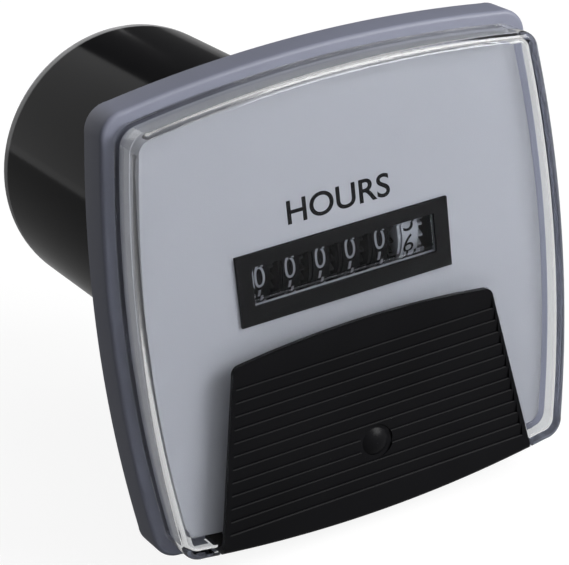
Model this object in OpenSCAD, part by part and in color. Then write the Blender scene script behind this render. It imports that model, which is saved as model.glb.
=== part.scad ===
// Panel-mounted hour meter: a moulded base frame with a clear cover in front and a round case behind.
// A six-wheel counter is driven from a sealed geared motor through meshing gears.
// Millimetres. The front faces -Y, the case runs along +Y and +Z is up.
// The origin is on the axis of the case, in the plane of the panel.

/* [Case] */
// Width of the base frame at the middle of its bowed sides
body_w = 112; // [108:1:120]
// Height of the base frame at the middle of its bowed sides
body_h = 112; // [108:1:120]
// How far the sides bow out
bow = 3.4; // [2:0.2:5]
// Corner radius of the base frame
corner_r = 6; // [4:0.5:9]
// Depth of the base frame in front of the panel
base_depth = 8.3; // [7:0.1:9]
// Distance from the panel to the front of the clear cover
front_depth = 18; // [17:0.5:24]
// Outside radius of the round case
case_r = 35; // [34:0.25:37]
// Length of the round case behind the panel
case_len = 104; // [70:1:130]
// Wall of the round case
case_wall = 2; // [1.5:0.1:2.2]
// Rounding of the rear edge of the case
case_round = 2; // [1:0.25:3]

/* [Cover] */
// Distance from the base outline to the cover outline
cover_inset = 2.6; // [2:0.1:3.2]
// Wall of the clear cover
cover_wall = 2.6; // [2:0.1:3]
// Bevel round the front of the clear cover
cover_bevel = 1.4; // [0.6:0.1:2]

/* [Dial and counter window] */
// Distance from the panel to the front of the dial
dial_front = 12; // [11.5:0.1:13]
// Thickness of the dial plate
dial_t = 1; // [0.8:0.1:1.2]
// Width of the bezel's rim at each end of the window
bezel_rim = 3.6; // [2:0.1:5]
// Height of the black bezel round the counter
bezel_h = 16.5; // [15:0.5:20]
// Thickness of the counter bezel
bezel_t = 0.8; // [0.5:0.1:1.2]
// Height of the counter window
window_h = 9.2; // [8:0.2:10]
// Sideways place of the counter bezel
bezel_x = -0.6; // [-0.8:0.1:-0.4]
// Height of the counter window above the axis of the case
window_z = 7.5; // [7:0.1:8.5]

/* [Ribbed mask] */
// Half width of the mask at its top
mask_top = 33.4; // [30:0.2:36]
// Half width of the mask at its bottom
mask_bottom = 40.8; // [38:0.2:43]
// Height of the arched top edge, below the axis of the case
mask_top_z = 5.1; // [4.6:0.1:8]
// Rise of the arched top edge
mask_arch = 2; // [1:0.1:3]
// Rounding of the mask's two top corners
mask_corner = 2.2; // [1:0.1:3]
// Number of stepped ribs across the mask
rib_count = 12; // [6:1:12]
// Distance between the ribs
rib_pitch = 3.08; // [2.6:0.02:3.2]
// Radius of the blanking plug
plug_r = 3.3; // [2.5:0.1:4]

/* [Counter] */
// Radius of the shafts
shaft_r = 1.5; // [1:0.1:1.8]
// Radial running clearance of the wheels on their shafts
run_gap = 0.05; // [0.03:0.01:0.08]

/* [Fixings] */
// Distance of the mounting studs from the sides of the base frame
stud_inset = 17; // [16:0.5:18]
// Radius of the mounting studs
stud_r = 2.4; // [2:0.1:2.5]
// Length of the mounting studs behind the panel
stud_len = 14; // [10:0.5:16]
// Distance between the two terminals
terminal_gap = 26; // [22:1:34]
// Radius of the terminal studs
terminal_r = 2.5; // [2:0.1:3]

/* [Hidden] */
$fn = 64;

// How far a cut runs past the face that it opens
cut_over = 1;
// Overlap of two forms that make one solid
join_lap = 0.1;

// Base frame
back_wall = 2.5;
land_w = 6;
case_gap = 0.1;
edge_bevel = 1;
collar_r = case_r + 1;
flange_r = collar_r + 2;
neck_step = 0.4;
tip_step = 0.3;
flange_t = 1.5;
post_r = 3;
post_inset = 5;
post_drop = 11;
post_x = body_w / 2 - land_w - post_r - post_inset;
stud_x = body_w / 2 - stud_inset;
stud_z = body_h / 2 - stud_inset;
post_z = stud_z - post_drop;
case_in_r = case_r - case_wall;

// Cover and mask
part_gap = 0.15;
cover_w = body_w - 2 * cover_inset;
cover_h = body_h - 2 * cover_inset;
cover_r = max(corner_r - cover_inset / 2, 2);
inner_r = max(cover_r - cover_wall / 2, 1.5);
mask_base_z = -body_h / 2 - 2 * cut_over;
mask_slope_z = -cover_h / 2;
mask_widen = (mask_bottom - mask_top) / (cover_h / 2 - mask_top_z);
mask_half_low = mask_bottom + mask_widen * (mask_slope_z - mask_base_z);
mask_steps = 12;
mask_corner_steps = 4;
rib_step = 0.5;
rib_margin = 1.6;
rib_drop = 5.3;
rib_first = mask_top_z + mask_arch + rib_drop;
plug_ribs = 9.93;
plug_z = -(mask_top_z + rib_pitch * plug_ribs);
plug_land_r = plug_r + 1;
plug_hole_r = plug_r - 0.8;
plug_rise = 1.1;
plug_sink = 0.6;
plug_stem = 0.5;
plug_lap = 0.2;

// Counter sizes that follow from the case
wheel_pitch = case_r * 0.21714;
gear_module = case_r * 0.023886;
drum_w = wheel_pitch * 0.6842;
gear_w = wheel_pitch * 0.1842;
window_spare = 0.7;
window_w = wheel_pitch * 6 + window_spare;
bezel_w = window_w + 2 * bezel_rim;

// Dial
dial_gap = 0.4;
dial_w = cover_w - 2 * cover_wall - 2 * dial_gap;
dial_h = cover_h - 2 * cover_wall - 2 * dial_gap;
dial_back = dial_front - dial_t;
pane_lip = 1;
pane_lip_t = 1;
pane_gap = 0.4;
bezel_drop = 0.5;

// One tooth as pairs: distance from the pitch circle in modules, and place along the pitch.
tooth_tip = 0.85;
tooth_root = 1.05;
tooth_shape = [[-tooth_root, -0.29], [0, -0.21], [tooth_tip, -0.09],
    [tooth_tip, 0.09], [0, 0.21], [-tooth_root, 0.29]];

// Counter
wheel_teeth = 20;
pinion_teeth = 8;
pinion_turn = 180 + 180 / pinion_teeth;
arbor_teeth = 30;
mesh_gap = 0.16;
wheel_out_r = gear_module * (wheel_teeth / 2 + tooth_tip);
drum_step = 0.3;
drum_r = wheel_out_r + drum_step;
ring_w = 0.65;
groove_w = 0.45;
groove_depth = 0.5;
side_gap = 0.3;
wheel_cd = gear_module * (wheel_teeth + pinion_teeth) / 2 + mesh_gap;
arbor_cd = gear_module * (arbor_teeth + pinion_teeth) / 2 + mesh_gap;
wheel_up = 8.2;
wheel_fwd = dial_back - pane_lip_t - pane_gap - drum_r;
pinion_angle = 170;
arbor_angle = 245;
motor_angle = 270;
pinion_up = wheel_up + wheel_cd * cos(pinion_angle);
pinion_fwd = wheel_fwd + wheel_cd * sin(pinion_angle);
arbor_up = wheel_up + wheel_cd * cos(arbor_angle);
arbor_fwd = wheel_fwd + wheel_cd * sin(arbor_angle);
motor_up = arbor_up;
motor_fwd = arbor_fwd - arbor_cd;
counter_x = -1.95;
wheel_reach = 2.5 * wheel_pitch + drum_w / 2;
plate_t = 1.2;
plate_room_right = 2.75;
plate_room_left = 1.45;
plate_in_right = counter_x + wheel_reach + gear_w + plate_room_right;
plate_in_left = counter_x - wheel_reach - plate_room_left;
plate_half_up = 7.2;
plate_drop = 8;
plate_rear = 6;
boss_gap = 0.4;
spindle_gap = 1;
arbor_gear_x = plate_in_right + plate_t + boss_gap;
motor_room = 1.6;
motor_r = arbor_cd - pinion_teeth * gear_module / 2 - motor_room;
motor_len = case_r * 1.2;
motor_bore = 6;
motor_spindle = 5;
high_bar_up = motor_up + 9.3;
high_bar_fwd = motor_fwd + motor_r + 0.3;
low_bar_up = motor_up - 8;
low_bar_fwd = motor_fwd + motor_r + 2;

// Fixings
stud_head_r = stud_r + 1.8;
stud_head_t = 1.5;
terminal_len = 13;
washer_t = 1;
nut_t = 3.6;
nut_r = terminal_r * 1.9;
terminal_head_t = 2;
washer_edge = 1;
thread_spare = 0.2;

// Points of a rounded square with bowed sides: four side arcs joined by four corner arcs.
function edge_x(w, b, t) = w / 2 - b * t * t;
side_steps = 10;
corner_steps = 6;
function right_side(w, h, b, r) =
    [for (i = [0:side_steps]) let (t = -1 + 2 * i / side_steps) [edge_x(w, b, t), t * (h / 2 - b - r)]];
function top_side(w, h, b, r) =
    [for (i = [0:side_steps]) let (t = 1 - 2 * i / side_steps) [t * (w / 2 - b - r), edge_x(h, b, t)]];
function corner_1(w, h, b, r) =
    [for (i = [1:corner_steps - 1]) let (a = 90 * i / corner_steps)
        [w / 2 - b - r + r * cos(a), h / 2 - b - r + r * sin(a)]];
function corner_2(w, h, b, r) =
    [for (i = [1:corner_steps - 1]) let (a = 90 + 90 * i / corner_steps)
        [-(w / 2 - b - r) + r * cos(a), h / 2 - b - r + r * sin(a)]];
function quarter_pair(w, h, b, r) =
    concat(right_side(w, h, b, r), corner_1(w, h, b, r), top_side(w, h, b, r), corner_2(w, h, b, r));
function cushion_points(w, h, b, r) = concat(quarter_pair(w, h, b, r),
    [for (p = quarter_pair(w, h, b, r)) [-p[0], -p[1]]]);

// Teeth with straight flanks, the first one centred at the angle given.
function tooth_r(teeth, q) = gear_module * (teeth / 2 + q[0]);
function tooth_a(teeth, first, i, q) = first + (i + q[1]) * 360 / teeth;
function gear_points(teeth, first) =
    [for (i = [0:teeth - 1]) for (q = tooth_shape)
        let (r = tooth_r(teeth, q), a = tooth_a(teeth, first, i, q)) [r * cos(a), r * sin(a)]];

// Top edge of the mask, for t from -1 at the left to 1 at the right, and its rounded right corner.
function mask_edge(t) = [t * mask_top, -mask_top_z - mask_arch * t * t];
function bend(a, b, c, t) = a * (1 - t) * (1 - t) + b * 2 * t * (1 - t) + c * t * t;
mask_corner_t = 1 - mask_corner / mask_top;
mask_corner_low = [mask_top + mask_corner * mask_widen, -mask_top_z - mask_arch - mask_corner];
mask_right = [for (i = [0:mask_corner_steps])
    bend(mask_corner_low, mask_edge(1), mask_edge(mask_corner_t), i / mask_corner_steps)];
mask_left = [for (i = [mask_corner_steps:-1:0]) [-mask_right[i][0], mask_right[i][1]]];
mask_arc = [for (i = [1:mask_steps - 1]) mask_edge(mask_corner_t * (1 - 2 * i / mask_steps))];

// Half section of the case: a collar in the panel frame, the barrel and its rounded rear edge.
round_steps = 6;
function rear_round(a) =
    [case_r - case_round + case_round * cos(a), case_round - case_len + case_round * sin(a)];
case_profile = concat([[0, back_wall + flange_t], [0, -case_len]],
    [for (i = [0:round_steps]) rear_round(-90 + 90 * i / round_steps)],
    [[case_r, 0], [collar_r, 0], [collar_r, back_wall + flange_t]]);

module front_frame() {
    rotate([90, 0, 0]) children();
}

module along_x() {
    rotate([90, 0, 90]) children();
}

module cushion(w, h, r, z0, z1) {
    translate([0, 0, z0]) linear_extrude(z1 - z0) polygon(cushion_points(w, h, bow, r));
}

module rod(r, z0, z1) {
    translate([0, 0, z0]) cylinder(r = r, h = z1 - z0);
}

module cross_rod(r, x0, x1, up, fwd) {
    translate([0, up, fwd]) along_x() rod(r, x0, x1);
}

module gear(teeth, first, x0, x1, up, fwd) {
    translate([x0, up, fwd]) along_x() linear_extrude(x1 - x0) polygon(gear_points(teeth, first));
}

module both_sides(x) {
    for (side = [-1, 1]) {
        translate([side * x, 0, 0]) children();
    }
}

module four_corners(x, y) {
    for (side = [-1, 1]) {
        translate([0, side * y, 0]) both_sides(x) children();
    }
}

module base_frame() {
    color("slategray") front_frame() difference() {
        union() {
            difference() {
                hull() {
                    cushion(body_w, body_h, corner_r, 0, base_depth - edge_bevel);
                    cushion(body_w - 2 * edge_bevel, body_h - 2 * edge_bevel, corner_r, 0, base_depth);
                }
                cushion(body_w - 2 * land_w, body_h - 2 * land_w, corner_r,
                    back_wall, base_depth + cut_over);
            }
            four_corners(post_x, post_z) rod(post_r, back_wall / 2, dial_back);
        }
        rod(collar_r + case_gap, -cut_over, back_wall + cut_over);
        four_corners(stud_x, stud_z) rod(stud_r + neck_step, -cut_over, back_wall + cut_over);
    }
}

module barrel_case() {
    color("black") front_frame() difference() {
        union() {
            rod(flange_r, back_wall, back_wall + flange_t);
            rotate_extrude() polygon(case_profile);
        }
        rod(case_in_r, -case_len + case_wall, back_wall + flange_t + cut_over);
        both_sides(terminal_gap / 2)
            rod(terminal_r + neck_step, -case_len - cut_over, -case_len + case_wall + cut_over);
    }
}

module cover_shell() {
    difference() {
        hull() {
            cushion(cover_w, cover_h, cover_r, base_depth, front_depth - cover_bevel);
            cushion(cover_w - 2 * cover_bevel, cover_h - 2 * cover_bevel, cover_r, base_depth, front_depth);
        }
        cushion(cover_w - 2 * cover_wall, cover_h - 2 * cover_wall, inner_r,
            base_depth - cut_over, front_depth - cover_wall);
    }
}

module mask_space() {
    foot = [[-mask_half_low, mask_base_z], [mask_half_low, mask_base_z]];
    translate([0, 0, base_depth - cut_over]) linear_extrude(front_depth)
        polygon(concat(foot, mask_right, mask_arc, mask_left));
}

// Wedge that leaves a narrow ledge facing up along its lower edge.
module rib_wedge(z) {
    half = mask_top + mask_widen * (-z - mask_top_z) - rib_margin;
    translate([-half, 0, 0]) along_x() linear_extrude(2 * half)
        polygon([[z + rib_pitch, front_depth + cut_over], [z + rib_pitch, front_depth],
            [z, front_depth - rib_step], [z, front_depth + cut_over]]);
}

module clear_cover() {
    color("lightblue", 0.4) front_frame() difference() {
        cover_shell();
        mask_space();
    }
}

module ribbed_mask() {
    color("black") front_frame() difference() {
        intersection() {
            cover_shell();
            mask_space();
        }
        for (i = [0:rib_count - 1]) {
            rib_wedge(-rib_first - i * rib_pitch);
        }
        translate([0, plug_z, 0]) rod(plug_land_r, front_depth - plug_sink, front_depth + cut_over);
        translate([0, plug_z, 0]) rod(plug_hole_r, base_depth, front_depth + cut_over);
    }
}

module plug_button() {
    dome_r = (plug_r * plug_r + plug_rise * plug_rise) / (2 * plug_rise);
    color("black") front_frame() translate([0, plug_z, 0]) union() {
        rod(plug_hole_r, front_depth - cover_wall - plug_stem, front_depth - plug_sink + plug_lap);
        intersection() {
            translate([0, 0, front_depth - plug_sink + plug_rise - dome_r]) sphere(r = dome_r);
            rod(plug_land_r, front_depth - plug_sink, front_depth + plug_rise);
        }
    }
}

module dial_plate() {
    color("lightgray") front_frame() difference() {
        cushion(dial_w, dial_h, inner_r, dial_back, dial_front);
        translate([bezel_x - window_w / 2, window_z - window_h / 2, dial_back - cut_over])
            cube([window_w, window_h, dial_t + 2 * cut_over]);
    }
}

module counter_bezel() {
    color("black") front_frame() translate([bezel_x, window_z, dial_front]) difference() {
        translate([-bezel_w / 2, -bezel_h / 2 - bezel_drop, 0]) cube([bezel_w, bezel_h, bezel_t]);
        translate([-window_w / 2, -window_h / 2, -cut_over])
            cube([window_w, window_h, bezel_t + 2 * cut_over]);
    }
}

module window_pane() {
    color("lightblue", 0.4) front_frame() translate([bezel_x, window_z, 0]) union() {
        translate([-window_w / 2 + part_gap, -window_h / 2 + part_gap, dial_back - pane_lip_t])
            cube([window_w - 2 * part_gap, window_h - 2 * part_gap, pane_lip_t + dial_t + bezel_t / 2]);
        translate([-window_w / 2 - pane_lip, -window_h / 2 - pane_lip, dial_back - pane_lip_t])
            cube([window_w + 2 * pane_lip, window_h + 2 * pane_lip, pane_lip_t]);
    }
}

module side_plate(x0) {
    translate([x0, wheel_up - plate_half_up - plate_drop, motor_fwd - plate_rear])
        cube([plate_t, 2 * plate_half_up + plate_drop, dial_back - motor_fwd + plate_rear]);
}

module tie_bar(up, fwd) {
    cross_rod(shaft_r, plate_in_left - plate_t / 2, plate_in_right + plate_t / 2, up, fwd);
}

// A rod through both side plates, longer at each end by the value given.
module through_rod(over, up, fwd) {
    cross_rod(shaft_r, plate_in_left - plate_t - over, plate_in_right + plate_t + over, up, fwd);
}

module right_plate_hole(r, up, fwd) {
    cross_rod(r, plate_in_right - cut_over, plate_in_right + plate_t + cut_over, up, fwd);
}

module counter_frame() {
    color("silver") front_frame() difference() {
        union() {
            side_plate(plate_in_left - plate_t);
            side_plate(plate_in_right);
            tie_bar(high_bar_up, high_bar_fwd);
            tie_bar(low_bar_up, low_bar_fwd);
        }
        through_rod(cut_over, wheel_up, wheel_fwd);
        through_rod(cut_over, pinion_up, pinion_fwd);
        right_plate_hole(shaft_r + run_gap, arbor_up, arbor_fwd);
        right_plate_hole(shaft_r + spindle_gap, motor_up, motor_fwd);
    }
}

module wheel_shaft() {
    color("silver") front_frame() through_rod(0, wheel_up, wheel_fwd);
}

module pinion_shaft() {
    color("silver") front_frame() through_rod(0, pinion_up, pinion_fwd);
}

// Groove between the carry ring at a wheel's left end and its numbered band.
module carry_groove(x0) {
    difference() {
        cross_rod(drum_r + cut_over, x0, x0 + groove_w, wheel_up, wheel_fwd);
        cross_rod(drum_r - groove_depth, x0 - cut_over, x0 + groove_w + cut_over, wheel_up, wheel_fwd);
    }
}

module number_wheel(index, first) {
    x0 = counter_x + (index - 3.5) * wheel_pitch - drum_w / 2;
    x1 = x0 + drum_w;
    x2 = x1 + gear_w;
    front_frame() difference() {
        union() {
            cross_rod(drum_r, x0, x1, wheel_up, wheel_fwd);
            gear(wheel_teeth, first, x1 - join_lap, x2, wheel_up, wheel_fwd);
        }
        cross_rod(shaft_r + run_gap, x0 - cut_over, x2 + cut_over, wheel_up, wheel_fwd);
        carry_groove(x0 + ring_w);
    }
}

module wheel_1() {
    color("black") number_wheel(1, pinion_angle);
}

module wheel_2() {
    color("black") number_wheel(2, pinion_angle);
}

module wheel_3() {
    color("black") number_wheel(3, pinion_angle);
}

module wheel_4() {
    color("black") number_wheel(4, pinion_angle);
}

module wheel_5() {
    color("black") number_wheel(5, pinion_angle);
}

module wheel_6() {
    color("white") number_wheel(6, arbor_angle);
}

module transfer_pinion(index) {
    x0 = counter_x + (index - 3.5) * wheel_pitch + drum_w / 2 + side_gap;
    x1 = x0 + gear_w;
    color("white") front_frame() difference() {
        gear(pinion_teeth, pinion_angle + pinion_turn, x0, x1, pinion_up, pinion_fwd);
        cross_rod(shaft_r + run_gap, x0 - cut_over, x1 + cut_over, pinion_up, pinion_fwd);
    }
}

module pinion_1() {
    transfer_pinion(1);
}

module pinion_2() {
    transfer_pinion(2);
}

module pinion_3() {
    transfer_pinion(3);
}

module pinion_4() {
    transfer_pinion(4);
}

module pinion_5() {
    transfer_pinion(5);
}

module drive_arbor() {
    x0 = counter_x + wheel_reach + side_gap;
    x1 = arbor_gear_x + gear_w;
    color("gold") front_frame() union() {
        gear(pinion_teeth, arbor_angle + pinion_turn, x0, x0 + gear_w, arbor_up, arbor_fwd);
        cross_rod(shaft_r, x0, x1, arbor_up, arbor_fwd);
        gear(arbor_teeth, motor_angle, arbor_gear_x, x1, arbor_up, arbor_fwd);
    }
}

module motor_can() {
    color("silver") front_frame() difference() {
        cross_rod(motor_r, plate_in_right - motor_len, plate_in_right, motor_up, motor_fwd);
        cross_rod(shaft_r + run_gap, plate_in_right - motor_bore, plate_in_right + cut_over,
            motor_up, motor_fwd);
    }
}

module motor_pinion() {
    x1 = arbor_gear_x + gear_w;
    color("gold") front_frame() union() {
        cross_rod(shaft_r, plate_in_right - motor_spindle, x1, motor_up, motor_fwd);
        gear(pinion_teeth, motor_angle + pinion_turn, arbor_gear_x, x1, motor_up, motor_fwd);
    }
}

module mount_stud(sx, sz) {
    color("silver") front_frame() translate([sx * stud_x, sz * stud_z, 0]) union() {
        rod(stud_r, -stud_len, join_lap);
        rod(stud_r + neck_step, 0, back_wall + join_lap);
        rod(stud_head_r, back_wall, back_wall + stud_head_t);
    }
}

module stud_1() {
    mount_stud(-1, 1);
}

module stud_2() {
    mount_stud(1, 1);
}

module stud_3() {
    mount_stud(1, -1);
}

module stud_4() {
    mount_stud(-1, -1);
}

module terminal(sx) {
    color("gold") front_frame() translate([sx * terminal_gap / 2, 0, -case_len]) union() {
        rod(terminal_r - tip_step, -terminal_len, 0);
        rod(terminal_r, -washer_t - nut_t - thread_spare, join_lap);
        rod(terminal_r + neck_step, 0, case_wall + join_lap);
        rod(nut_r, case_wall, case_wall + terminal_head_t);
    }
}

module terminal_1() {
    terminal(-1);
}

module terminal_2() {
    terminal(1);
}

module washer(sx) {
    color("silver") front_frame() translate([sx * terminal_gap / 2, 0, -case_len - washer_t]) difference() {
        rod(nut_r + washer_edge, 0, washer_t);
        rod(terminal_r, -cut_over, washer_t + cut_over);
    }
}

module washer_1() {
    washer(-1);
}

module washer_2() {
    washer(1);
}

module nut(sx) {
    nut_rear = -case_len - washer_t - nut_t;
    color("gold") front_frame() translate([sx * terminal_gap / 2, 0, nut_rear]) difference() {
        cylinder(r = nut_r, h = nut_t, $fn = 6);
        rod(terminal_r, -cut_over, nut_t + cut_over);
    }
}

module nut_1() {
    nut(-1);
}

module nut_2() {
    nut(1);
}

base_frame();
barrel_case();
clear_cover();
ribbed_mask();
plug_button();
dial_plate();
counter_bezel();
window_pane();
counter_frame();
wheel_shaft();
pinion_shaft();
wheel_1();
wheel_2();
wheel_3();
wheel_4();
wheel_5();
wheel_6();
pinion_1();
pinion_2();
pinion_3();
pinion_4();
pinion_5();
drive_arbor();
motor_can();
motor_pinion();
stud_1();
stud_2();
stud_3();
stud_4();
terminal_1();
terminal_2();
washer_1();
washer_2();
nut_1();
nut_2();
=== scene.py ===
"""Hour meter for a panel: the visible shells, print and finishes, built around the fixed frame."""

import math

import bmesh
import bpy
from mathutils import Matrix, Vector


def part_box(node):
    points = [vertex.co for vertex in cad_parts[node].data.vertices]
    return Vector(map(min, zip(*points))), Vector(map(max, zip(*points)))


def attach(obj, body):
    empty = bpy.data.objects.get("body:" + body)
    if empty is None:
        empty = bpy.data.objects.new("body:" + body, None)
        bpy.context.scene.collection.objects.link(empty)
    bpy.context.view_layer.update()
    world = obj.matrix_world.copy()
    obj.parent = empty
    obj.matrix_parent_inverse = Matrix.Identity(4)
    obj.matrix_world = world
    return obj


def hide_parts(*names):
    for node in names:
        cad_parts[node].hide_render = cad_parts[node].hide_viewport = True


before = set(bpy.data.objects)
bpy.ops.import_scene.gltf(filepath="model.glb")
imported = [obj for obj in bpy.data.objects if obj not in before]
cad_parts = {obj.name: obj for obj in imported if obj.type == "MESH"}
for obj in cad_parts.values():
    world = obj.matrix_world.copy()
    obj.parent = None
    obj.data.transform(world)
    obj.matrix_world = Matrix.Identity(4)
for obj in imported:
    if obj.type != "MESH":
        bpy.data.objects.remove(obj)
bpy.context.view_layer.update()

bl_info = {
    "name": "Hour Meter",
    "version": (1, 0, 0),
    "blender": (4, 5, 0),
    "location": "View3D > Sidebar > Hour Meter",
    "description": "Models the shells, print and finishes of a panel hour meter",
    "category": "Add Mesh",
}

MM = 0.001
FIXED_BODY = "case"
# The frame has materials of its own by the slots' names, so the finishes are named apart from them.
FINISH = "_finish"

BASE_LOW, BASE_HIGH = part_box("base_frame")
COVER_LOW, COVER_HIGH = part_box("clear_cover")
CASE_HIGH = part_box("barrel_case")[1]
DIAL_LOW, DIAL_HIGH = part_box("dial_plate")
DRUM_LOW, DRUM_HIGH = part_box("wheel_1")
DRUM_RADIUS = (DRUM_HIGH.z - DRUM_LOW.z) / 2
DRUM_AXIS_Y = (DRUM_HIGH.y + DRUM_LOW.y) / 2
DRUM_AXIS_Z = (DRUM_HIGH.z + DRUM_LOW.z) / 2

# The nodes that are plated steel and turned brass, by the start of their names.
STEEL_NODES = ("stud_", "washer_", "counter_frame", "wheel_shaft", "pinion_shaft", "motor_can")
BRASS_NODES = ("terminal_", "nut_", "drive_arbor", "motor_pinion")
STEEL_COLOUR = (0.55, 0.56, 0.58)
BRASS_COLOUR = (0.72, 0.52, 0.24)

# The camera stands at the left of the meter, above it, and is a little rolled.
CAMERA_PLACE = Vector((-0.23778, -0.46303, 0.21668))
CAMERA_RIGHT = Vector((0.8737, -0.4764, -0.0990))
CAMERA_DOWN = Vector((-0.2660, -0.2972, -0.9170))
FOCAL_PIXELS = 2502.35
IMAGE_WIDTH = 569
SENSOR_WIDTH = 36.0

# The room is bright in front of the meter, at its right and above, and dim from a right angle to that on.
ROOM_BRIGHT_SIDE = Vector((0.7, -0.65, 0.3)).normalized()
ROOM_DIM = 0.08
ROOM_BRIGHT = 0.8
ROOM_TURN = 0.0

# How much of the floor's white shows to the camera, in gloss, and with the room's through clear plastic.
FLOOR_WHITE = 0.88
FLOOR_IN_GLOSS = 0.2
WHITE_THROUGH_CLEAR = 0.5
# The floor's size, how far it lies under the meter, and its plain finish.
FLOOR_SIZE = 12
FLOOR_GAP = 0.5 * MM
FLOOR_GREY = (0.15, 0.15, 0.15, 1)
FLOOR_ROUGH = 0.9
WHITE = (1, 1, 1, 1)

# The soft panels: name, place, the point faced, the direction of the width, width, height and watts.
LAMPS = (
    ("right_softbox", (0.5, -0.6, 0.35), (0, 0, 0), (1, 0, 0), 0.5, 0.5, 7.1),
    ("top_softbox", (0.43, -0.41, 0.87), (0, 0, 0), (1, 0, 0), 0.5, 0.4, 1.9),
    ("rear_panel", (-0.255, 1.0, 0.466), (-0.255, 0, 0.466), (0.216, 0, 0.976), 1.2, 0.7, 2.6),
    ("rim_panel", (0.1, 1.0, 0.1), (0.1, 0, 0.1), (1, 0, 0), 0.6, 0.4, 1.5),
)

# The painted highlight on the case's rear rim, a pale ring that stands in for the light its edge catches:
# where it starts and ends, measured from the rear, and its colour.
RIM_HIGHLIGHT_RISE = (4.2 * MM, 3.4 * MM)
RIM_HIGHLIGHT_FALL = (2.0 * MM, 1.4 * MM)
RIM_HIGHLIGHT_COLOUR = (0.42, 0.42, 0.43, 1)

# Slow changes of tone and gloss in plastic and paint, fine grain in their surface, and its height.
SLOW_SCALE = 45.0
SLOW_DETAIL = 2.0
FINE_DETAIL = 3.0
ROUGH_LEAST = 0.9
ROUGH_MOST = 1.15
BUMP_HEIGHT = 0.2 * MM

# Refraction of the clear plastic at its edges, of its coated front, and where it joins the mask.
EDGE_BENDING = 1.49
FRONT_BENDING = 1.12
JOIN_BENDING = 1.01
# Tint and polish of the clear plastic, and the flow marks in its surface.
CLEAR_TINT = (0.97, 0.98, 0.99, 1)
CLEAR_ROUGH = 0.02
FLOW_SCALE = 60.0
FLOW_DEPTH = 0.02
# A face is flat to the front when this much of its normal lies along the depth.
FLAT_FACING = 0.99
# How far beside the mask's lower end its joint with the cover is looked for.
JOIN_MARGIN = 1.0 * MM

WHEEL_COUNT = 6
STUD_COUNT = 4
DIGITS_PER_WHEEL = 10
DIGIT_TURN = math.radians(360 / DIGITS_PER_WHEEL)
# The last wheel stands between two numerals, and the others lag by a little carry slack.
LAST_SHOWN = 5.5
CARRY_SLACK = 0.025
# Width of the numeral 1, as a share of the others'.
NARROW_ONE = 0.24
# Strips into which a numeral is cut to bend, the thickness of the print, and points on a letter's curve.
NUMERAL_STRIPS = 8
NUMERAL_THICK = 0.06 * MM
WORD_THICK = 0.05 * MM
LETTER_STEPS = 8

# Points on each bowed side, each rounded corner, each rod and the hole for the case.
SIDE_STEPS = 24
CORNER_STEPS = 10
ROD_STEPS = 48
CASE_STEPS = 96
# Edges that turn by less than this are shaded smooth, and each top corner of the mask turns by this much.
SMOOTH_ANGLE = math.radians(32)
MASK_CORNER_TURN = math.radians(85)

# How far a tool stands out of the piece that it cuts, and half the length of one that goes right through.
OVERRUN = 1.0 * MM
THROUGH = 10 * MM
# The corners of the cover, and of what lies inside it, are tighter than the base frame's by this much.
COVER_TIGHTER = 1.3 * MM
INSIDE_TIGHTER = 2.6 * MM
# Depths of the pocket's floor and of the posts' feet below it.
POCKET_FLOOR = -2.5 * MM
POST_FOOT = -1.0 * MM
# Gaps round the mask and the dial, and the lip that holds the pane behind the dial.
MASK_GAP = 0.1 * MM
SKIRT_GAP = 0.04 * MM
PANE_LIP = 1.15 * MM
PANE_LIP_THICK = 1.0 * MM
# Points nearer than these count as touching a plane, as lying at one depth and as one point.
TOUCH = 0.01 * MM
SAME_DEPTH = 1e-6
SAME_POINT = 1e-7
# Radius of the circle that every outline starts from.
START_RADIUS = 0.01


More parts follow.
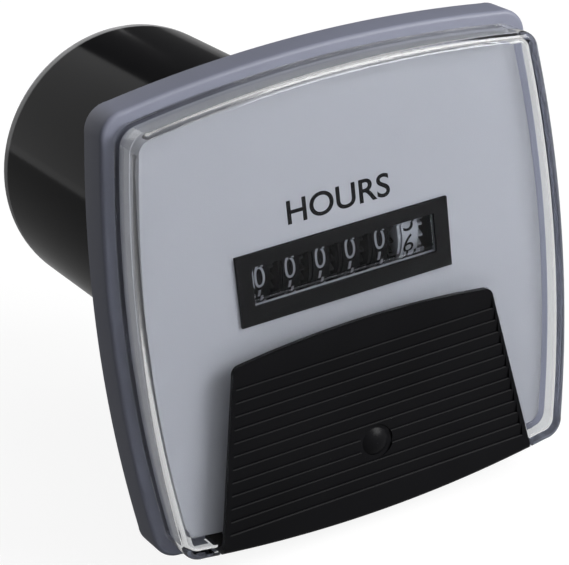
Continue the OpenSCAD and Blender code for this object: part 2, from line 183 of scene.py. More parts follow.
class MeterSizes(bpy.types.PropertyGroup):
    """Sizes that a user would change."""

    bow: bpy.props.FloatProperty(
        name="Bow", description="How far each side bows out", default=3.4 * MM, unit="LENGTH"
    )
    corner: bpy.props.FloatProperty(
        name="Corner", description="Corner radius of the base frame", default=6.0 * MM, unit="LENGTH"
    )
    land: bpy.props.FloatProperty(
        name="Land", description="Width of the base frame's front face", default=3.6 * MM, unit="LENGTH"
    )
    base_edge: bpy.props.FloatProperty(
        name="Base edge",
        description="Rounding of the base frame's front edge",
        default=1.0 * MM,
        unit="LENGTH",
    )
    flange: bpy.props.FloatProperty(
        name="Flange", description="Width of the flange on the case", default=2.0 * MM, unit="LENGTH"
    )
    case_gap: bpy.props.FloatProperty(
        name="Case gap",
        description="Clearance round the case in the base frame",
        default=0.1 * MM,
        unit="LENGTH",
    )
    post_x: bpy.props.FloatProperty(
        name="Post side", description="Sideways place of the dial's posts", default=42.0 * MM, unit="LENGTH"
    )
    post_z: bpy.props.FloatProperty(
        name="Post height", description="Height of the dial's posts", default=28.0 * MM, unit="LENGTH"
    )
    post_radius: bpy.props.FloatProperty(
        name="Post radius", description="Radius of the dial's posts", default=3.0 * MM, unit="LENGTH"
    )
    stud_hole: bpy.props.FloatProperty(
        name="Stud hole", description="Radius of the holes for the studs", default=2.8 * MM, unit="LENGTH"
    )
    seat_gap: bpy.props.FloatProperty(
        name="Seat gap",
        description="Clearance between the cover and its seat",
        default=0.1 * MM,
        unit="LENGTH",
    )
    cavity_edge: bpy.props.FloatProperty(
        name="Cavity edge",
        description="Rounding inside the cover's front edge",
        default=1.2 * MM,
        unit="LENGTH",
    )
    pane_edge: bpy.props.FloatProperty(
        name="Pane edge", description="Bevel round the window pane", default=0.35 * MM, unit="LENGTH"
    )
    pane_foot: bpy.props.FloatProperty(
        name="Pane foot", description="Bevel along the pane's lower edge", default=1.6 * MM, unit="LENGTH"
    )
    cover_wall: bpy.props.FloatProperty(
        name="Cover wall",
        description="Wall of the clear cover and the mask",
        default=1.5 * MM,
        unit="LENGTH",
    )
    cover_edge: bpy.props.FloatProperty(
        name="Cover edge", description="Rounding of the cover's front edge", default=1.4 * MM, unit="LENGTH"
    )
    mask_top: bpy.props.FloatProperty(
        name="Mask top", description="Half width of the mask at its top", default=33.4 * MM, unit="LENGTH"
    )
    mask_bottom: bpy.props.FloatProperty(
        name="Mask bottom",
        description="Half width of the mask at the cover's lower end",
        default=40.8 * MM,
        unit="LENGTH",
    )
    mask_high: bpy.props.FloatProperty(
        name="Mask height", description="Height of the mask's top edge", default=-5.1 * MM, unit="LENGTH"
    )
    mask_arch: bpy.props.FloatProperty(
        name="Mask arch", description="Rise of the mask's top edge", default=2.0 * MM, unit="LENGTH"
    )
    mask_corner: bpy.props.FloatProperty(
        name="Mask corner",
        description="Rounding of the mask's top corners",
        default=2.2 * MM,
        unit="LENGTH",
    )
    rib_pitch: bpy.props.FloatProperty(
        name="Rib pitch", description="Distance between the ribs", default=3.08 * MM, unit="LENGTH"
    )
    rib_step: bpy.props.FloatProperty(
        name="Rib step", description="Depth of the ledge on each rib", default=0.5 * MM, unit="LENGTH"
    )
    rib_edge: bpy.props.FloatProperty(
        name="Rib edge",
        description="Bevel on the edge of each rib's ledge",
        default=0.2 * MM,
        unit="LENGTH",
    )
    rib_margin: bpy.props.FloatProperty(
        name="Rib margin",
        description="Plain border at the ends of the ribs",
        default=1.6 * MM,
        unit="LENGTH",
    )
    rib_first: bpy.props.FloatProperty(
        name="First rib", description="Height of the first rib", default=-12.4 * MM, unit="LENGTH"
    )
    rib_count: bpy.props.IntProperty(name="Ribs", description="Number of ribs", default=12)
    plug_high: bpy.props.FloatProperty(
        name="Plug height", description="Height of the blanking plug", default=-35.7 * MM, unit="LENGTH"
    )
    plug_sink: bpy.props.FloatProperty(
        name="Plug sink",
        description="Depth of the sunk land round the plug",
        default=0.6 * MM,
        unit="LENGTH",
    )
    plug_hole: bpy.props.FloatProperty(
        name="Plug hole",
        description="Radius of the hole for the plug's stem",
        default=2.5 * MM,
        unit="LENGTH",
    )
    plug_land: bpy.props.FloatProperty(
        name="Plug land",
        description="Radius of the sunk land round the plug",
        default=4.3 * MM,
        unit="LENGTH",
    )
    skirt_flare: bpy.props.FloatProperty(
        name="Skirt flare",
        description="How far the dial's turned edge spreads",
        default=1.1 * MM,
        unit="LENGTH",
    )
    skirt_depth: bpy.props.FloatProperty(
        name="Skirt depth",
        description="How far the dial's edge turns back",
        default=1.6 * MM,
        unit="LENGTH",
    )
    word_width: bpy.props.FloatProperty(
        name="Word width", description="Width of the unit word", default=25.8 * MM, unit="LENGTH"
    )
    word_height: bpy.props.FloatProperty(
        name="Word height", description="Height of the unit word", default=5.6 * MM, unit="LENGTH"
    )
    word_middle: bpy.props.FloatProperty(
        name="Word middle", description="Sideways place of the unit word", default=-0.5 * MM, unit="LENGTH"
    )
    word_low: bpy.props.FloatProperty(
        name="Word line", description="Height of the word's base line", default=19.0 * MM, unit="LENGTH"
    )
    word_weight: bpy.props.FloatProperty(
        name="Word weight", description="Thickening of the word's strokes", default=0.012
    )
    digit_weight: bpy.props.FloatProperty(
        name="Digit weight", description="Thickening of the numerals' strokes", default=-0.005
    )
    digit_place: bpy.props.FloatProperty(
        name="Digit place",
        description="Numeral's middle from the wheel's left end",
        default=2.9 * MM,
        unit="LENGTH",
    )
    digit_width: bpy.props.FloatProperty(
        name="Digit width", description="Width of a numeral", default=2.6 * MM, unit="LENGTH"
    )
    digit_height: bpy.props.FloatProperty(
        name="Digit height", description="Height of a numeral", default=5.1 * MM, unit="LENGTH"
    )


class MeterColours(bpy.types.PropertyGroup):
    """Colours that a user would change."""

    base: bpy.props.FloatVectorProperty(
        name="Base",
        description="Grey of the base frame",
        default=(0.185, 0.195, 0.255),
        size=3,
        subtype="COLOR",
    )
    black: bpy.props.FloatVectorProperty(
        name="Black",
        description="Black of the case, the mask, the dark wheels and the dark print",
        default=(0.006, 0.006, 0.007),
        size=3,
        subtype="COLOR",
    )
    dial: bpy.props.FloatVectorProperty(
        name="Dial",
        description="Paint of the dial",
        default=(0.36, 0.37, 0.41),
        size=3,
        subtype="COLOR",
    )
    print_white: bpy.props.FloatVectorProperty(
        name="Print",
        description="White of the numerals",
        default=(0.26, 0.27, 0.3),
        size=3,
        subtype="COLOR",
    )
    wheel: bpy.props.FloatVectorProperty(
        name="Wheel",
        description="White of the last wheel and the pinions",
        default=(0.35, 0.36, 0.4),
        size=3,
        subtype="COLOR",
    )


def sizes():
    return bpy.context.scene.meter_sizes


def colours():
    return bpy.context.scene.meter_colours


def deselect():
    """Leaves nothing selected, so that an operator acts only on the piece being made."""
    if bpy.context.object and bpy.context.object.mode != "OBJECT":
        bpy.ops.object.mode_set(mode="OBJECT")
    bpy.ops.object.select_all(action="DESELECT")


def pick(*pieces):
    """Selects only these pieces, with the first one active."""
    deselect()
    for piece in pieces:
        piece.select_set(True)
    bpy.context.view_layer.objects.active = pieces[0]


def edit(piece):
    pick(piece)
    bpy.ops.object.mode_set(mode="EDIT")


def choose_edges(piece, test):
    """Selects, in edit mode, the edges with both ends in places that pass a test."""
    mesh = bmesh.from_edit_mesh(piece.data)
    bpy.ops.mesh.select_all(action="DESELECT")
    bpy.ops.mesh.select_mode(type="EDGE")
    for edge in mesh.edges:
        edge.select_set(all(test(vertex.co) for vertex in edge.verts))
    mesh.select_flush_mode()
    bmesh.update_edit_mesh(piece.data)


def quarter(width, height, bow, radius):
    """One quarter of a rounded square with bowed sides, from the right side's middle to the top's."""
    reach_x, reach_z = width / 2 - bow - radius, height / 2 - bow - radius
    points = []
    for step in range(SIDE_STEPS // 2 + 1):
        share = 2 * step / SIDE_STEPS
        points.append((width / 2 - bow * share * share, share * reach_z))
    for step in range(1, CORNER_STEPS):
        angle = math.pi / 2 * step / CORNER_STEPS
        points.append((reach_x + radius * math.cos(angle), reach_z + radius * math.sin(angle)))
    for step in range(SIDE_STEPS // 2, -1, -1):
        share = 2 * step / SIDE_STEPS
        points.append((share * reach_x, height / 2 - bow * share * share))
    return points


def cushion(width, height, bow, radius):
    """The whole outline, anticlockwise as seen from the front."""
    first = quarter(width, height, bow, radius)
    half = first + [(-x, z) for x, z in reversed(first[:-1])]
    return half[:-1] + [(-x, -z) for x, z in half[:-1]]


def rectangle(low, high, inset):
    """A rectangle's outline inside a node's box, anticlockwise as seen from the front."""
    left, right = low.x + inset, high.x - inset
    bottom, top = low.z + inset, high.z - inset
    return [(right, bottom), (right, top), (left, top), (left, bottom)]


def extrude_face(name, points, move):
    """A filled circle, its points moved to an outline, and extruded along a straight move."""
    deselect()
    bpy.ops.mesh.primitive_circle_add(vertices=len(points), radius=START_RADIUS, fill_type="NGON")
    piece = bpy.context.object
    piece.name = name
    for vertex, point in zip(piece.data.vertices, points):
        vertex.co = point
    edit(piece)
    bpy.ops.mesh.select_all(action="SELECT")
    bpy.ops.mesh.extrude_region_move(TRANSFORM_OT_translate={"value": move})
    bpy.ops.mesh.select_all(action="SELECT")
    bpy.ops.mesh.normals_make_consistent(inside=False)
    bpy.ops.object.mode_set(mode="OBJECT")
    return piece


def add_prism(name, outline, back, front):
    """A block with an outline seen from the front, from one depth to another."""
    return extrude_face(name, [(x, back, z) for x, z in outline], (0, front - back, 0))


def add_rod(name, radius, back, front, x=0.0, z=0.0, vertices=ROD_STEPS):
    """A rod along the depth, for posts and holes."""
    deselect()
    bpy.ops.mesh.primitive_cylinder_add(
        vertices=vertices,
        radius=radius,
        depth=back - front,
        location=(x, (back + front) / 2, z),
        rotation=(math.pi / 2, 0, 0),
    )
    bpy.ops.object.transform_apply(location=True, rotation=True)
    bpy.context.object.name = name
    return bpy.context.object


def round_edge(piece, level, width, segments):
    """Rounds the edge loop of a prism that lies at one depth."""
    edit(piece)
    choose_edges(piece, lambda place: abs(place.y - level) < SAME_DEPTH)
    bpy.ops.mesh.bevel(offset=width, segments=segments, affect="EDGES", clamp_overlap=True)
    bpy.ops.object.mode_set(mode="OBJECT")


def cut(piece, tool, operation="DIFFERENCE"):
    """Cuts with a tool piece, or joins it on, and uses the tool up."""
    pick(piece)
    modifier = piece.modifiers.new("cut", "BOOLEAN")
    modifier.object = tool
    modifier.operation = operation
    modifier.solver = "EXACT"
    bpy.ops.object.modifier_apply(modifier=modifier.name)
    bpy.data.objects.remove(tool)


def copy_piece(piece, name):
    twin = piece.copy()
    twin.data = piece.data.copy()
    twin.name = name
    bpy.context.scene.collection.objects.link(twin)
    return twin


def soften(piece):
    """Shades the rounded edges smooth and leaves the sharp ones."""
    pick(piece)
    bpy.ops.object.shade_smooth_by_angle(angle=SMOOTH_ANGLE)


def settle(piece, body, slot, material, *nodes):
    """Puts the finish on a piece, and fixes it to its body in the frame."""
    piece.data.materials.clear()
    piece.data.materials.append(material)
    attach(piece, body)
    if nodes:
        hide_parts(*nodes)


def finish_node(name, material):
    """Gives a piece of the frame its finish."""
    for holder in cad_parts[name].material_slots:
        holder.material = material


def start_material(name):
    """A new finish with its nodes, its links and its shader."""
    material = bpy.data.materials.new(name + FINISH)
    material.use_nodes = True
    nodes = material.node_tree.nodes
    return material, nodes, material.node_tree.links, nodes["Principled BSDF"]


def compute(tree, operation, first, second):
    """The result of a Math node, of which each input is a socket or a number."""
    node = tree.nodes.new("ShaderNodeMath")
    node.operation = operation
    for socket, value in zip(node.inputs, (first, second)):
        if isinstance(value, float):
            socket.default_value = value
        else:
            tree.links.new(value, socket)
    return node.outputs["Value"]


def moulded(name, colour, rough, grain, depth, gloss=0.5, spread=0.12):
    """Moulded plastic or paint: grain in the surface, and slow changes of colour and gloss."""
    found = bpy.data.materials.get(name + FINISH)
    if found:
        return found
    material, nodes, links, shader = start_material(name)
    place = nodes.new("ShaderNodeTexCoord")
    fine = nodes.new("ShaderNodeTexNoise")
    fine.inputs["Scale"].default_value = grain
    fine.inputs["Detail"].default_value = FINE_DETAIL
    slow = nodes.new("ShaderNodeTexNoise")
    slow.inputs["Scale"].default_value = SLOW_SCALE
    slow.inputs["Detail"].default_value = SLOW_DETAIL
    tone = nodes.new("ShaderNodeMix")
    tone.data_type = "RGBA"
    tone.inputs["A"].default_value = (*[part * (1 - spread) for part in colour], 1)
    tone.inputs["B"].default_value = (*[min(part * (1 + spread), 1) for part in colour], 1)
    sheen = nodes.new("ShaderNodeMapRange")
    sheen.inputs["To Min"].default_value = rough * ROUGH_LEAST
    sheen.inputs["To Max"].default_value = min(rough * ROUGH_MOST, 1)
    bump = nodes.new("ShaderNodeBump")
    bump.inputs["Strength"].default_value = depth
    bump.inputs["Distance"].default_value = BUMP_HEIGHT
    for texture in (fine, slow):
        links.new(place.outputs["Object"], texture.inputs["Vector"])
    links.new(slow.outputs["Fac"], tone.inputs["Factor"])
    links.new(tone.outputs["Result"], shader.inputs["Base Color"])
    links.new(slow.outputs["Fac"], sheen.inputs["Value"])
    links.new(sheen.outputs["Result"], shader.inputs["Roughness"])
    links.new(fine.outputs["Fac"], bump.inputs["Height"])
    links.new(bump.outputs["Normal"], shader.inputs["Normal"])
    shader.inputs["Specular IOR Level"].default_value = gloss
    return material


def metal(name, colour, rough):
    """Turned or plated metal with fine tool marks."""
    material = moulded(name, colour, rough, grain=2600.0, depth=0.08, spread=0.06)
    material.node_tree.nodes["Principled BSDF"].inputs["Metallic"].default_value = 1.0
    return material


def clear_plastic(name, bending):
    """Clear moulded plastic with slight flow marks in its surface."""
    found = bpy.data.materials.get(name + FINISH)
    if found:
        return found
    material, nodes, links, shader = start_material(name)
    shader.inputs["Base Color"].default_value = CLEAR_TINT
    shader.inputs["Roughness"].default_value = CLEAR_ROUGH
    shader.inputs["IOR"].default_value = bending
    shader.inputs["Transmission Weight"].default_value = 1.0
    place = nodes.new("ShaderNodeTexCoord")
    flow = nodes.new("ShaderNodeTexNoise")
    flow.inputs["Scale"].default_value = FLOW_SCALE
    bump = nodes.new("ShaderNodeBump")
    bump.inputs["Strength"].default_value = FLOW_DEPTH
    bump.inputs["Distance"].default_value = BUMP_HEIGHT
    links.new(place.outputs["Object"], flow.inputs["Vector"])
    links.new(flow.outputs["Fac"], bump.inputs["Height"])
    links.new(bump.outputs["Normal"], shader.inputs["Normal"])
    return material


def clear_edge():
    return clear_plastic("clear_edge", EDGE_BENDING)


def coat_front(piece):
    """Gives a clear piece's flat front and back, and its edge at the mask, a finish that hardly mirrors."""
    size = sizes()
    piece.data.materials.append(clear_plastic("clear_front", FRONT_BENDING))
    piece.data.materials.append(clear_plastic("clear_join", JOIN_BENDING))
    # The order in which the three finishes lie on the piece.
    edge, front, join = range(3)
    for face in piece.data.polygons:
        middle = face.center
        at_mask = middle.z < size.mask_high and abs(middle.x) < size.mask_bottom + JOIN_MARGIN
        if abs(face.normal.y) > FLAT_FACING:
            face.material_index = front
        elif at_mask:
            face.material_index = join
        else:
            face.material_index = edge


def base_grey():
    return moulded("base_grey", colours().base, rough=0.45, grain=1800.0, depth=0.12)


def dial_paint():
    return moulded("dial_paint", colours().dial, rough=0.55, grain=4000.0, depth=0.05, spread=0.03)


def case_black():
    """Gloss black, with a painted highlight: a pale ring round the rear rim, standing in for the light its
    edge catches.
    """
    material = moulded(
        "case_black", colours().black, rough=0.1, grain=900.0, depth=0.02, gloss=0.05, spread=0.3
    )
    nodes, links = material.node_tree.nodes, material.node_tree.links
    shader = nodes["Principled BSDF"]
    plain = shader.inputs["Base Color"].links[0].from_socket
    place = nodes.new("ShaderNodeTexCoord")
    depth = nodes.new("ShaderNodeSeparateXYZ")
    rise = nodes.new("ShaderNodeMapRange")
    fall = nodes.new("ShaderNodeMapRange")
    for ramp, start, end in ((rise, *RIM_HIGHLIGHT_RISE), (fall, *RIM_HIGHLIGHT_FALL)):
        ramp.inputs["From Min"].default_value = CASE_HIGH.y - start
        ramp.inputs["From Max"].default_value = CASE_HIGH.y - end
        links.new(depth.outputs["Y"], ramp.inputs["Value"])
    fall.inputs["To Min"].default_value = 1.0
    fall.inputs["To Max"].default_value = 0.0
    # Painted highlight: the pale ring where the rear rim catches the light, mixed into the black.
    rim_highlight = compute(material.node_tree, "MULTIPLY", rise.outputs["Result"], fall.outputs["Result"])
    ring = nodes.new("ShaderNodeMix")
    ring.data_type = "RGBA"
    ring.inputs["B"].default_value = RIM_HIGHLIGHT_COLOUR
    links.new(place.outputs["Object"], depth.inputs["Vector"])
    links.new(rim_highlight, ring.inputs["Factor"])
    links.new(plain, ring.inputs["A"])
    links.new(ring.outputs["Result"], shader.inputs["Base Color"])
    return material


def mask_black():
    return moulded(
        "mask_black", colours().black, rough=0.3, grain=2400.0, depth=0.1, gloss=0.08, spread=0.3
    )


def print_black():
    return moulded(
        "print_black", colours().black, rough=0.6, grain=3000.0, depth=0.05, gloss=0.12, spread=0.3
    )


def print_white():
    return moulded("print_white", colours().print_white, rough=0.6, grain=3000.0, depth=0.05, spread=0.04)


def wheel_black():
    return moulded(
        "wheel_black", colours().black, rough=0.5, grain=3000.0, depth=0.05, gloss=0.03, spread=0.3
    )


def white_plastic(name):
    return moulded(name, colours().wheel, rough=0.5, grain=3000.0, depth=0.05, spread=0.04)


def mask_slope():
    """How much the mask's half width grows with each metre down."""
    size = sizes()
    return (size.mask_bottom - size.mask_top) / (size.mask_high - COVER_LOW.z)


def mask_outline(gap):
    """Outline of the mask: an arched top with rounded corners, and sides that spread to below the base."""
    size = sizes()
    low = BASE_LOW.z - 2 * OVERRUN
    half_low = size.mask_bottom + mask_slope() * (COVER_LOW.z - low)
    radius = size.mask_corner
    corner_x = size.mask_top + gap - radius
    corner_z = size.mask_high - size.mask_arch + gap - radius
    corner = []
    for step in range(CORNER_STEPS + 1):
        angle = MASK_CORNER_TURN * step / CORNER_STEPS
        corner.append((corner_x + radius * math.cos(angle), corner_z + radius * math.sin(angle)))
    arch = []
    for step in range(1, SIDE_STEPS):
        share = 1 - 2 * step / SIDE_STEPS
        arch.append((share * corner_x, size.mask_high - size.mask_arch * share * share + gap))
    foot = [(-half_low - gap, low), (half_low + gap, low)]
    return foot + corner + arch + [(-x, z) for x, z in reversed(corner)]


def add_shell(name):
    """The hollow front shell that the clear cover and the mask are both parts of."""
    size = sizes()
    # The mask takes the cover's lower end, so the shell's height comes from its top.
    width, height = COVER_HIGH.x - COVER_LOW.x, 2 * COVER_HIGH.z
    wall = size.cover_wall
    outside = cushion(width, height, size.bow, size.corner - COVER_TIGHTER)
    shell = add_prism(name, outside, COVER_HIGH.y - size.seat_gap, COVER_LOW.y)
    round_edge(shell, COVER_LOW.y, size.cover_edge, segments=5)
    inside = cushion(width - 2 * wall, height - 2 * wall, size.bow, size.corner - INSIDE_TIGHTER)
    hollow = add_prism("hollow", inside, COVER_HIGH.y + OVERRUN, COVER_LOW.y + wall)
    round_edge(hollow, COVER_LOW.y + wall, size.cavity_edge, segments=4)
    cut(shell, hollow)
    return shell


def add_mask_tool(gap):
    """A block with the mask's outline, deeper than the shell."""
    back, front = COVER_HIGH.y + 2 * OVERRUN, COVER_LOW.y - 2 * OVERRUN
    return add_prism("mask_tool", mask_outline(gap), back, front)


def add_word(name, text, width, height, thick, weight):
    """Lettering as a thin mesh of a set width and height, upright and facing the front."""
    deselect()
    bpy.ops.object.text_add()
    word = bpy.context.object
    word.data.body = text
    word.data.extrude = thick / 2
    word.data.offset = weight
    word.data.resolution_u = LETTER_STEPS
    bpy.ops.object.convert(target="MESH")
    word = bpy.context.object
    word.name = name
    across = [vertex.co.x for vertex in word.data.vertices]
    upward = [vertex.co.y for vertex in word.data.vertices]
    layers = [vertex.co.z for vertex in word.data.vertices]
    left, wide = min(across), max(across) - min(across)
    bottom, high = min(upward), max(upward) - min(upward)
    middle, deep = (max(layers) + min(layers)) / 2, max(layers) - min(layers)
    for vertex in word.data.vertices:
        vertex.co = (
            (vertex.co.x - left) / wide * width - width / 2,
            -(vertex.co.z - middle) * thick / deep,
            (vertex.co.y - bottom) / high * height - height / 2,
        )
    edit(word)
    bpy.ops.mesh.select_all(action="SELECT")
    bpy.ops.mesh.remove_doubles(threshold=SAME_POINT)
    bpy.ops.mesh.normals_make_consistent(inside=False)
    bpy.ops.object.mode_set(mode="OBJECT")
    return word


class METER_OT_base(bpy.types.Operator):
    """Models the base frame: a bowed square with rounded edges and a pocket behind the dial."""

    bl_idname = "meter.base"
    bl_label = "Base Frame"

    def execute(self, context):
        size = sizes()
        width, height = BASE_HIGH.x - BASE_LOW.x, BASE_HIGH.z - BASE_LOW.z
        front = COVER_HIGH.y
        base = add_prism("base_shell", cushion(width, height, size.bow, size.corner), BASE_HIGH.y, front)
        round_edge(base, front, size.base_edge, segments=4)
        inside = cushion(width - 2 * size.land, height - 2 * size.land, size.bow, size.corner)
        cut(base, add_prism("pocket", inside, POCKET_FLOOR, front - OVERRUN))
        case_hole = CASE_HIGH.x - size.flange + size.case_gap
        cut(base, add_rod("hole", case_hole, THROUGH, -THROUGH, vertices=CASE_STEPS))
        for x in (-size.post_x, size.post_x):
            for z in (-size.post_z, size.post_z):
                cut(base, add_rod("post", size.post_radius, POST_FOOT, DIAL_HIGH.y, x, z), "UNION")
        for index in range(1, STUD_COUNT + 1):
            low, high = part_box(f"stud_{index}")
            middle = (low + high) / 2
            cut(base, add_rod("stud_hole", size.stud_hole, THROUGH, -THROUGH, middle.x, middle.z))
        soften(base)
        settle(base, FIXED_BODY, "base_grey", base_grey(), "base_frame")
        return {"FINISHED"}


class METER_OT_cover(bpy.types.Operator):
    """Models the clear cover, open where the mask goes, and the window pane."""

    bl_idname = "meter.cover"
    bl_label = "Clear Cover"

    def add_pane(self):
        """The pane: a lip behind the dial and a bevelled block that fills the window."""
        size = sizes()
        low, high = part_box("window_pane")
        pane = add_prism("pane", rectangle(low, high, 0.0), high.y, high.y - PANE_LIP_THICK)
        block = add_prism("pane_block", rectangle(low, high, PANE_LIP), high.y, low.y)
        front, foot = low.y + TOUCH, low.z + PANE_LIP + TOUCH
        edit(block)
        choose_edges(block, lambda place: place.y < front and place.z < foot)
        bpy.ops.mesh.bevel(offset=size.pane_foot, segments=1, affect="EDGES")
        bpy.ops.object.mode_set(mode="OBJECT")
        round_edge(block, low.y, size.pane_edge, segments=1)
        cut(pane, block, "UNION")
        settle(pane, FIXED_BODY, "clear", clear_edge(), "window_pane")
        coat_front(pane)

    def execute(self, context):
        cover = add_shell("cover_shell")
        cut(cover, add_mask_tool(0.0))
        soften(cover)
        settle(cover, FIXED_BODY, "clear", clear_edge(), "clear_cover")
        coat_front(cover)
        self.add_pane()
        return {"FINISHED"}


class METER_OT_mask(bpy.types.Operator):
    """Models the ribbed mask with its sunk land for the plug, and finishes the plug."""

    bl_idname = "meter.mask"
    bl_label = "Ribbed Mask"

    def add_rib_tool(self, half, z):
        """A long wedge that leaves a narrow ledge facing up, with a bevelled edge, at its lower side."""
        size = sizes()
        front, outside, top = COVER_LOW.y, COVER_LOW.y - OVERRUN, z + size.rib_pitch
        profile = (
            (outside, top),
            (front, top),
            (front + size.rib_step, z),
            (front + size.rib_edge, z),
            (front, z - size.rib_edge),
            (outside, z - size.rib_edge),
        )
        points = [(-half, depth, height) for depth, height in profile]
        return extrude_face("rib_tool", points, (2 * half, 0, 0))

    def execute(self, context):
        size = sizes()
        mask = add_shell("mask_shell")
        cut(mask, add_mask_tool(-MASK_GAP), "INTERSECT")
        for index in range(size.rib_count):
            z = size.rib_first - index * size.rib_pitch
            half = size.mask_top + mask_slope() * (size.mask_high - z) - size.rib_margin
            cut(mask, self.add_rib_tool(half, z))
        front = COVER_LOW.y
        for radius, depth in ((size.plug_land, size.plug_sink), (size.plug_hole, THROUGH)):
            cut(mask, add_rod("plug_cut", radius, front + depth, front - OVERRUN, z=size.plug_high))
        soften(mask)
        settle(mask, FIXED_BODY, "mask_black", mask_black(), "ribbed_mask")
        finish_node("plug_button", mask_black())
        return {"FINISHED"}


class METER_OT_dial(bpy.types.Operator):
    """Paints the dial, turns its edge back, and prints the unit word on it."""

    bl_idname = "meter.dial"
    bl_label = "Dial"

    def add_skirt(self):
        """The dial's edge, turned back towards the base all round."""
        size = sizes()
        width, height = DIAL_HIGH.x - DIAL_LOW.x, DIAL_HIGH.z - DIAL_LOW.z
        grow = 2 * size.skirt_flare
        corner = size.corner - INSIDE_TIGHTER
        back, front = DIAL_HIGH.y + size.skirt_depth, DIAL_LOW.y
        outside = cushion(width + grow, height + grow, size.bow, corner)
        skirt = add_prism("dial_skirt", outside, back, front)
        taper = (width + 2 * SKIRT_GAP) / (width + grow)
        for vertex in skirt.data.vertices:
            if vertex.co.y < front + SKIRT_GAP:
                vertex.co = (vertex.co.x * taper, front, vertex.co.z * taper)
        inside = cushion(width + SKIRT_GAP, height + SKIRT_GAP, size.bow, corner)
        cut(skirt, add_prism("skirt_hollow", inside, back + OVERRUN, front - OVERRUN))
        soften(skirt)
        settle(skirt, FIXED_BODY, "dial_paint", dial_paint())

    def execute(self, context):
        size = sizes()
        width, height = size.word_width, size.word_height
        word = add_word("unit_word", "HOURS", width, height, WORD_THICK, size.word_weight)
        place = (size.word_middle, DIAL_LOW.y - WORD_THICK / 2, size.word_low + height / 2)
        word.data.transform(Matrix.Translation(place))
        settle(word, FIXED_BODY, "bezel_black", print_black())
        finish_node("dial_plate", dial_paint())
        finish_node("counter_bezel", print_black())
        self.add_skirt()
        return {"FINISHED"}


class METER_OT_numerals(bpy.types.Operator):
    """Prints ten numerals round each number wheel, and finishes the wheels."""

    bl_idname = "meter.numerals"
    bl_label = "Numerals"

    def add_glyph(self, digit):
        """A flat numeral, cut into strips so that it bends round a wheel."""
        size = sizes()
        width = size.digit_width * (NARROW_ONE if digit == 1 else 1.0)
        glyph = add_word("numeral", str(digit), width, size.digit_height, NUMERAL_THICK, size.digit_weight)
        edit(glyph)
        for strip in range(1, NUMERAL_STRIPS):
            level = size.digit_height * (strip / NUMERAL_STRIPS - 0.5)
            bpy.ops.mesh.select_all(action="SELECT")
            bpy.ops.mesh.bisect(plane_co=(0, 0, level), plane_no=(0, 0, 1))
        bpy.ops.object.mode_set(mode="OBJECT")
        return glyph

    def wrap(self, glyph, name, middle, turn):
        """A copy of a numeral, bent round the wheels' axis at a turn from the front."""
        twin = copy_piece(glyph, name)
        for vertex in twin.data.vertices:
            across, depth, upward = vertex.co
            angle = turn + upward / DRUM_RADIUS
            reach = DRUM_RADIUS + NUMERAL_THICK / 2 - depth
            vertex.co = (
                middle + across,
                DRUM_AXIS_Y - reach * math.cos(angle),
                DRUM_AXIS_Z + reach * math.sin(angle),
            )
        return twin

    def add_ring(self, glyphs, index, shown):
        """The numerals of one wheel as one piece, with the number shown at the front."""
        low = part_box(f"wheel_{index}")[0]
        middle = low.x + sizes().digit_place
        made = []
        for digit, glyph in enumerate(glyphs):
            made.append(self.wrap(glyph, f"numeral_{index}_{digit}", middle, DIGIT_TURN * (shown - digit)))
        pick(*made)
        bpy.ops.object.join()
        ring = bpy.context.object
        ring.name = f"numerals_{index}"
        return ring

    def execute(self, context):
        glyphs = [self.add_glyph(digit) for digit in range(DIGITS_PER_WHEEL)]
        for index in range(1, WHEEL_COUNT + 1):
            wheel, body = f"wheel_{index}", f"turn_wheel_{index}"
            if index == WHEEL_COUNT:
                settle(self.add_ring(glyphs, index, LAST_SHOWN), body, "wheel_black", print_black())
                finish_node(wheel, white_plastic("wheel_white"))
            else:
                shown = CARRY_SLACK * (index - 1)
                settle(self.add_ring(glyphs, index, shown), body, "wheel_white", print_white())
                finish_node(wheel, wheel_black())
        for glyph in glyphs:
            bpy.data.objects.remove(glyph)
        return {"FINISHED"}


class METER_OT_works(bpy.types.Operator):
    """Finishes the case, the fixings and the works of the counter."""

    bl_idname = "meter.works"
    bl_label = "Case and Works"

    def execute(self, context):
        finish_node("barrel_case", case_black())
        steel = metal("plated_steel", STEEL_COLOUR, rough=0.3)
        brass = metal("turned_brass", BRASS_COLOUR, rough=0.28)
        white = white_plastic("pinion_white")
        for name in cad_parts:
            if name.startswith(STEEL_NODES):
                finish_node(name, steel)
            elif name.startswith(BRASS_NODES):
                finish_node(name, brass)
            elif name.startswith("pinion_"):
                finish_node(name, white)
        return {"FINISHED"}


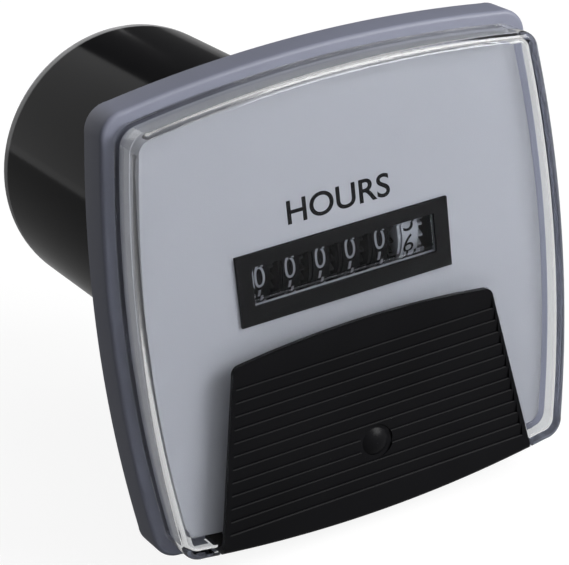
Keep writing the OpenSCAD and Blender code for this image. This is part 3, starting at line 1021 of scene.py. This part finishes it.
class METER_OT_stage(bpy.types.Operator):
    """Sets the floor, the soft lights, the pale surroundings and the camera."""

    bl_idname = "meter.stage"
    bl_label = "Stage"

    def execute(self, context):
        self.add_floor()
        self.add_world(context.scene)
        for lamp in LAMPS:
            self.add_lamp(*lamp)
        self.add_camera(context.scene)
        context.scene.view_settings.view_transform = "Standard"
        return {"FINISHED"}

    def add_floor(self):
        """A pale floor just under the meter, white to the camera and dimmer in gloss and clear plastic."""
        deselect()
        bpy.ops.mesh.primitive_plane_add(size=FLOOR_SIZE, location=(0, 0, BASE_LOW.z - FLOOR_GAP))
        floor = bpy.context.object
        floor.name = "floor"
        material, nodes, links, shader = start_material("pale_floor")
        shader.inputs["Base Color"].default_value = FLOOR_GREY
        shader.inputs["Roughness"].default_value = FLOOR_ROUGH
        shader.inputs["Emission Color"].default_value = WHITE
        tree = material.node_tree
        path = nodes.new("ShaderNodeLightPath")
        seen = compute(tree, "MULTIPLY", path.outputs["Is Camera Ray"], FLOOR_WHITE)
        mirrored = compute(tree, "MULTIPLY", path.outputs["Is Glossy Ray"], FLOOR_IN_GLOSS)
        through = compute(tree, "MULTIPLY", path.outputs["Is Transmission Ray"], WHITE_THROUGH_CLEAR)
        white = compute(tree, "MAXIMUM", compute(tree, "MAXIMUM", seen, mirrored), through)
        links.new(white, shader.inputs["Emission Strength"])
        floor.data.materials.append(material)

    def add_world(self, scene):
        """White to the camera, and to all else a room with a bright side, paler through clear plastic."""
        world = bpy.data.worlds.new("studio")
        scene.world = world
        world.use_nodes = True
        tree = world.node_tree
        nodes, links = tree.nodes, tree.links
        back = nodes["Background"]
        back.inputs["Color"].default_value = WHITE
        path = nodes.new("ShaderNodeLightPath")
        place = nodes.new("ShaderNodeTexCoord")
        facing = nodes.new("ShaderNodeVectorMath")
        facing.operation = "DOT_PRODUCT"
        facing.inputs[1].default_value = ROOM_BRIGHT_SIDE
        room = nodes.new("ShaderNodeMapRange")
        room.inputs["From Min"].default_value = ROOM_TURN
        room.inputs["From Max"].default_value = 1.0
        room.inputs["To Min"].default_value = ROOM_DIM
        room.inputs["To Max"].default_value = ROOM_BRIGHT
        level = nodes.new("ShaderNodeMix")
        level.inputs["B"].default_value = 1.0
        links.new(place.outputs["Generated"], facing.inputs[0])
        links.new(facing.outputs["Value"], room.inputs["Value"])
        through = compute(tree, "MULTIPLY", path.outputs["Is Transmission Ray"], WHITE_THROUGH_CLEAR)
        pale = compute(tree, "MAXIMUM", room.outputs["Result"], through)
        links.new(path.outputs["Is Camera Ray"], level.inputs["Factor"])
        links.new(pale, level.inputs["A"])
        links.new(level.outputs["Result"], back.inputs["Strength"])

    def add_lamp(self, name, place, aim, side, width, height, power):
        """A soft panel at a place, facing a point, with its width along a given side."""
        light = bpy.data.lights.new(name, "AREA")
        light.shape = "RECTANGLE"
        light.size = width
        light.size_y = height
        light.energy = power
        lamp = bpy.data.objects.new(name, light)
        away = (Vector(place) - Vector(aim)).normalized()
        across = (Vector(side) - away * away.dot(Vector(side))).normalized()
        turn = Matrix((across, away.cross(across), away)).transposed()
        lamp.matrix_world = Matrix.Translation(place) @ turn.to_4x4()
        lamp.visible_camera = False
        bpy.context.scene.collection.objects.link(lamp)

    def add_camera(self, scene):
        data = bpy.data.cameras.new("camera")
        data.sensor_width = SENSOR_WIDTH
        data.lens = FOCAL_PIXELS / IMAGE_WIDTH * SENSOR_WIDTH
        camera = bpy.data.objects.new("camera", data)
        right, up = CAMERA_RIGHT.normalized(), -CAMERA_DOWN.normalized()
        turn = Matrix((right, up, right.cross(up))).transposed()
        camera.matrix_world = Matrix.Translation(CAMERA_PLACE) @ turn.to_4x4()
        scene.collection.objects.link(camera)
        scene.camera = camera


class METER_PT_panel(bpy.types.Panel):
    """Lists the meter's pieces in the sidebar."""

    bl_label = "Hour Meter"
    bl_idname = "METER_PT_panel"
    bl_space_type = "VIEW_3D"
    bl_region_type = "UI"
    bl_category = "Hour Meter"

    def draw(self, context):
        for operator in OPERATORS:
            self.layout.operator(operator.bl_idname)


OPERATORS = (
    METER_OT_base,
    METER_OT_cover,
    METER_OT_mask,
    METER_OT_dial,
    METER_OT_numerals,
    METER_OT_works,
    METER_OT_stage,
)
CLASSES = (MeterSizes, MeterColours, *OPERATORS, METER_PT_panel)


def register():
    for cls in CLASSES:
        bpy.utils.register_class(cls)
    bpy.types.Scene.meter_sizes = bpy.props.PointerProperty(type=MeterSizes)
    bpy.types.Scene.meter_colours = bpy.props.PointerProperty(type=MeterColours)


def unregister():
    del bpy.types.Scene.meter_colours
    del bpy.types.Scene.meter_sizes
    for cls in reversed(CLASSES):
        bpy.utils.unregister_class(cls)


def main():
    register()
    bpy.ops.meter.base()
    bpy.ops.meter.cover()
    bpy.ops.meter.mask()
    bpy.ops.meter.dial()
    bpy.ops.meter.numerals()
    bpy.ops.meter.works()
    bpy.ops.meter.stage()


if __name__ == "__main__":
    main()
